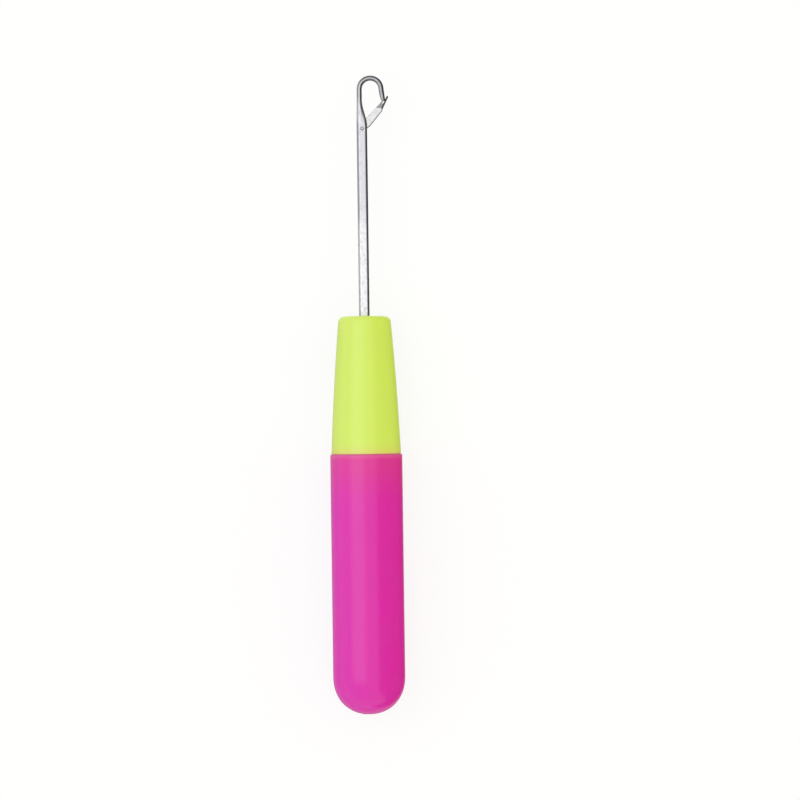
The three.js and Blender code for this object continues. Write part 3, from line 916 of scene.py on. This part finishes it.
class HOOK_OT_latch(HookOperator, bpy.types.Operator):
    """Model the latch: a plate that widens from its eye, with a hollowed spoon across its end"""

    bl_idname = "crochet_hook.latch"
    bl_label = "Model latch"

    def build(self, settings):
        size, needle = settings.latch, settings.needle
        half_plate = size.thickness / 2
        corner = 0.18 * MM
        spoon_start = size.reach - size.spoon

        def spoon_middle(y):
            return tan(size.cant) * (size.reach - y)

        # The plate: round at the eye, then wide, then a web along the spoon that ends short of the tip
        tip_along = size.reach - size.spoon_past_tip
        web_end = tip_along - needle.tip - size.web_gap
        web_top = tip_along - 2 * size.web_gap
        leaf_start = spoon_start - size.spoon_thickness
        knee = spoon_start + size.spoon_thickness
        outer_edge = [
            (0, size.eye),
            (2.5 * size.eye, size.outer),
            (leaf_start, size.outer),
            (knee, spoon_middle(knee)),
        ]
        inner_edge = [
            (0, -size.eye),
            (2 * size.eye, -size.inner),
            (web_end, -size.web),
            (web_top, spoon_middle(web_top) - size.spoon_thickness / 3),
        ]

        # The eye's round end starts from a narrow face
        first, narrow = radians(11), 0.19
        last = -size.eye * cos(first)
        piece = rounded_section("latch_leaf", size.eye, half_plate, corner, flats=(5, 0), segments=3)
        bpy.ops.transform.resize(value=(narrow, 1, 1))
        bpy.ops.transform.translate(value=(0, last, 0))
        for angle in spread(first, pi / 2, 8)[1:-1]:
            y = -size.eye * cos(angle)
            push_on((0, y - last, 0))
            fit_section(piece, 0, size.eye * sin(angle), half_plate)
            last = y
        for y in spread(0, web_end, 32) + spread(web_end, web_top, 6)[1:]:
            push_on((0, y - last, 0))
            outer = along(outer_edge, y) if y < knee else spoon_middle(y)
            inner = along(inner_edge, y)
            fit_section(piece, (outer + inner) / 2, (outer - inner) / 2, half_plate)
            last = y
        close_up(1e-7)

        # The spoon: a leaf across the plate, canted so that it closes on the hook's tip
        leaf = [
            (leaf_start, 0.7 * half_plate),
            (spoon_start + size.spoon_thickness, 0.38 * size.spoon_width),
            (spoon_start + size.spoon / 2, 0.5 * size.spoon_width),
            (size.reach, 0.42 * size.spoon_width),
        ]
        half = size.spoon_thickness / 2
        spoon = rounded_section("spoon", half, half_plate, corner, flats=(0, 0), segments=3)
        bpy.ops.transform.translate(value=(spoon_middle(leaf_start), leaf_start, 0))
        last = leaf_start
        steps, end_radius, end_gap = 26, 0.7 * MM, 0.009 * MM
        for i in range(steps + 1):
            y = leaf_start + (size.reach - leaf_start) * sin(i * pi / 2 / steps)
            if i:
                push_on((0, y - last, 0))
            last = y
            end_round = rounding((size.reach - y) / end_radius, end_gap / end_radius)
            middle = min(spoon_middle(y), size.outer - half)
            fit_section(spoon, middle, half, along(leaf, y) * end_round)
        close_up(1e-7)
        bpy.ops.object.mode_set(mode="OBJECT")
        cut_with(piece, spoon, "UNION")

        # The hollow that the hook's tip sits in, and the eye's hole
        deselect_all()
        bpy.ops.mesh.primitive_uv_sphere_add(segments=40, ring_count=24, radius=1)
        hollow = named("hollow")
        hollow.scale = (2 * size.hollow, 0.3 * size.spoon, 0.34 * size.spoon_width)
        hollow.location = (-half - size.hollow, 0, 0)
        settle()
        place(hollow, (spoon_middle(tip_along), tip_along, 0), size.cant)
        cut_with(piece, hollow)
        running_gap = 0.05 * MM
        cut_with(piece, cylinder("eye", 48, size.rivet + running_gap, 2 * size.thickness))
        place(piece, (PIVOT.x, PIVOT.y, 0), -size.angle)
        colours = settings.finishes
        dark = darker(colours.steel_dark, 0.4)
        material = steel("Latch steel", colours.plate, dark, line=0.1, speck=0.16, marks=self.dark_places)
        finish_piece(piece, "latch", "latch", material)

    def dark_places(self, tree, grind, flank):
        """The spoon is darker than the plate; the web beside it and the outer edge take painted shade."""
        latch = bpy.context.scene.crochet_hook.latch
        place_on = tree.coordinates()
        _, y, z = tree.axes(place_on)
        # Painted shade over the web, from 5 mm past the pivot
        web_start = PIVOT.y + 5 * MM
        web = tree.span(y, web_start, web_start + 0.25 * MM, 0, 0.7)

        # The spoon is what stands out past the plate's two sides
        from_middle = tree.math("ABSOLUTE", tree.math("SUBTRACT", z, AXIS_HEIGHT))
        spoon = tree.span(from_middle, 0.25 * MM, 0.31 * MM)

        # Across the plate, painted shade darkens the outer edge, and a little the inner half
        sockets = {0: place_on, 1: (cos(latch.angle), -sin(latch.angle), 0)}
        aside = tree.add("ShaderNodeVectorMath", sockets, operation="DOT_PRODUCT").outputs["Value"]
        middle = -PIVOT.y * sin(latch.angle)
        rim = tree.times(flank, tree.span(aside, middle, middle + 0.6 * MM, 0, 0.75))
        face = tree.span(aside, middle - 0.6 * MM, middle + 0.2 * MM, 0.16, 0)
        plate = tree.math("MAXIMUM", tree.math("MAXIMUM", rim, face), web)
        return tree.math("MAXIMUM", plate, spoon, clamp=True)


class HOOK_OT_stage(HookOperator, bpy.types.Operator):
    """Set up the floor, the sky, the lamp, the flag, the card and the camera above the tool"""

    bl_idname = "crochet_hook.stage"
    bl_label = "Set up stage"

    def build(self, settings):
        studio = settings.studio
        self.floor()
        self.sky(studio)
        self.key_lamp(studio)
        self.flag(studio)
        self.card(studio)
        self.camera(studio)
        bpy.context.scene.view_settings.view_transform = "Standard"

    def sheet(self, name, low, high, height):
        """A level sheet between two corners."""
        deselect_all()
        bpy.ops.mesh.primitive_plane_add(size=1)
        piece = named(name)
        piece.scale = (high[0] - low[0], high[1] - low[1], 1)
        piece.location = ((low[0] + high[0]) / 2, (low[1] + high[1]) / 2, height)
        settle()
        return piece

    def seen_directly(self, tree):
        """1 for rays from the lens and for those that metal or glass reflects or lets through."""
        path = tree.add("ShaderNodeLightPath").outputs
        either = tree.math("MAXIMUM", path["Is Camera Ray"], path["Is Glossy Ray"])
        return tree.math("MAXIMUM", either, path["Is Transmission Ray"])

    def floor(self):
        """A pale floor that keeps the tool's shadow, but looks nearly as white as the sky."""
        floor = self.sheet("floor", (-3, -3), (3, 3), -0.04 * MM)
        material, tree = bare_material("Pale floor")
        white = tree.add("ShaderNodeEmission", {"Color": WHITE, "Strength": 1.0}).outputs[0]
        glow = tree.times(self.seen_directly(tree), 0.84)
        surface = tree.add("ShaderNodeMixShader", {0: glow, 1: tree.matt(0.93), 2: white}).outputs[0]
        tree.add("ShaderNodeOutputMaterial", {"Surface": surface})
        floor.data.materials.append(material)

    def sky(self, studio):
        """White where it is seen, and as a light cool on the left and warm on the right."""
        world = bpy.data.worlds.new("Soft white")
        bpy.context.scene.world = world
        world.use_nodes = True
        world.node_tree.nodes.clear()
        tree = NodeTree(world.node_tree)
        sideways = tree.axes(tree.coordinates("Generated"))["X"]
        light = tree.blend(tree.span(sideways, -0.4, 0.7), rgba(studio.cool), rgba(studio.warm))
        fill = tree.add("ShaderNodeBackground", {"Color": light, "Strength": studio.fill}).outputs[0]
        white = tree.add("ShaderNodeBackground", {"Color": WHITE, "Strength": 1.0}).outputs[0]
        sockets = {0: self.seen_directly(tree), 1: fill, 2: white}
        surface = tree.add("ShaderNodeMixShader", sockets).outputs[0]
        tree.add("ShaderNodeOutputWorld", {"Surface": surface})

    def key_lamp(self, studio):
        """A large square lamp that faces the tool's middle."""
        deselect_all()
        bpy.ops.object.light_add(type="AREA", location=studio.key_place)
        lamp = bpy.context.object
        lamp.name = "key"
        lamp.data.size = studio.key_size
        lamp.data.energy = studio.key
        lamp.rotation_euler = studio.key_place.to_track_quat("Z", "Y").to_euler()

    def flag(self, studio):
        """A flag on the right, bent up from the floor, which gives the steel its dark edges."""
        left, right = 0.014, 0.134
        flag = self.sheet("black_flag", (left, -0.25), (right, 0.7), 0.2 * MM)
        edit(flag)
        pick(flag, lambda edge: all(vert.co.x > (left + right) / 2 for vert in edge.verts), "edges")
        push_on((0.05, 0, 0.3))
        self.only_reflected(flag, "Black felt", studio.felt)

    def card(self, studio):
        """A card under the handle, which keeps the plastic's edges from shining white."""
        past_dome = 0.05
        card = self.sheet("grey_card", (-0.06, DOME_POLE - past_dome), (0.014, NOSE_FACE), 0.1 * MM)
        self.only_reflected(card, "Grey card", studio.card)

    def only_reflected(self, surface, name, tone):
        """Makes a piece of the stage matt, and seen only in reflections."""
        deselect_all()
        surface.visible_camera = surface.visible_diffuse = surface.visible_shadow = False
        surface.visible_transmission = False
        material, tree = bare_material(name)
        tree.add("ShaderNodeOutputMaterial", {"Surface": tree.matt(tone)})
        surface.data.materials.append(material)

    def camera(self, studio):
        """A long lens straight above the tool."""
        deselect_all()
        above = Vector((0, 0, AXIS_HEIGHT + studio.distance))
        bpy.ops.object.camera_add(location=studio.aim + above, rotation=(0, 0, studio.turn))
        camera = bpy.context.object
        camera.data.lens = studio.lens
        camera.data.sensor_width = 36
        bpy.context.scene.camera = camera


class HookSettings(bpy.types.PropertyGroup):
    """All the settings of the tool."""

    barrel: PointerProperty(type=BarrelSizes)
    nose: PointerProperty(type=NoseSizes)
    needle: PointerProperty(type=NeedleSizes)
    latch: PointerProperty(type=LatchSizes)
    finishes: PointerProperty(type=Finishes)
    studio: PointerProperty(type=Studio)


class HOOK_PT_panel(bpy.types.Panel):
    """Lists the tool's settings and the operators that model it"""

    bl_idname = "HOOK_PT_panel"
    bl_label = "Crochet Hook"
    bl_space_type = "VIEW_3D"
    bl_region_type = "UI"
    bl_category = "Crochet Hook"

    def draw(self, context):
        settings = context.scene.crochet_hook
        for operator in OPERATORS:
            self.layout.operator(operator.bl_idname)
        for group_name in HookSettings.__annotations__:
            group = getattr(settings, group_name)
            box = self.layout.box()
            box.label(text=group_name.capitalize())
            for setting in type(group).__annotations__:
                box.prop(group, setting)


GROUPS = (BarrelSizes, NoseSizes, NeedleSizes, LatchSizes, Finishes, Studio, HookSettings)
OPERATORS = (HOOK_OT_barrel, HOOK_OT_nose, HOOK_OT_needle, HOOK_OT_rivet, HOOK_OT_latch, HOOK_OT_stage)
CLASSES = (*GROUPS, *OPERATORS, HOOK_PT_panel)


def register():
    """Registers the classes and the scene's settings."""
    for each in CLASSES:
        bpy.utils.register_class(each)
    bpy.types.Scene.crochet_hook = PointerProperty(type=HookSettings)


def unregister():
    """Removes the settings and the classes."""
    del bpy.types.Scene.crochet_hook
    for each in reversed(CLASSES):
        bpy.utils.unregister_class(each)


def main():
    """Models every piece and sets the stage."""
    register()
    for operator in OPERATORS:
        family, action = operator.bl_idname.split(".")
        if getattr(getattr(bpy.ops, family), action)() != {"FINISHED"}:
            raise RuntimeError(operator.bl_label + " did not finish")


if __name__ == "__main__":
    main()
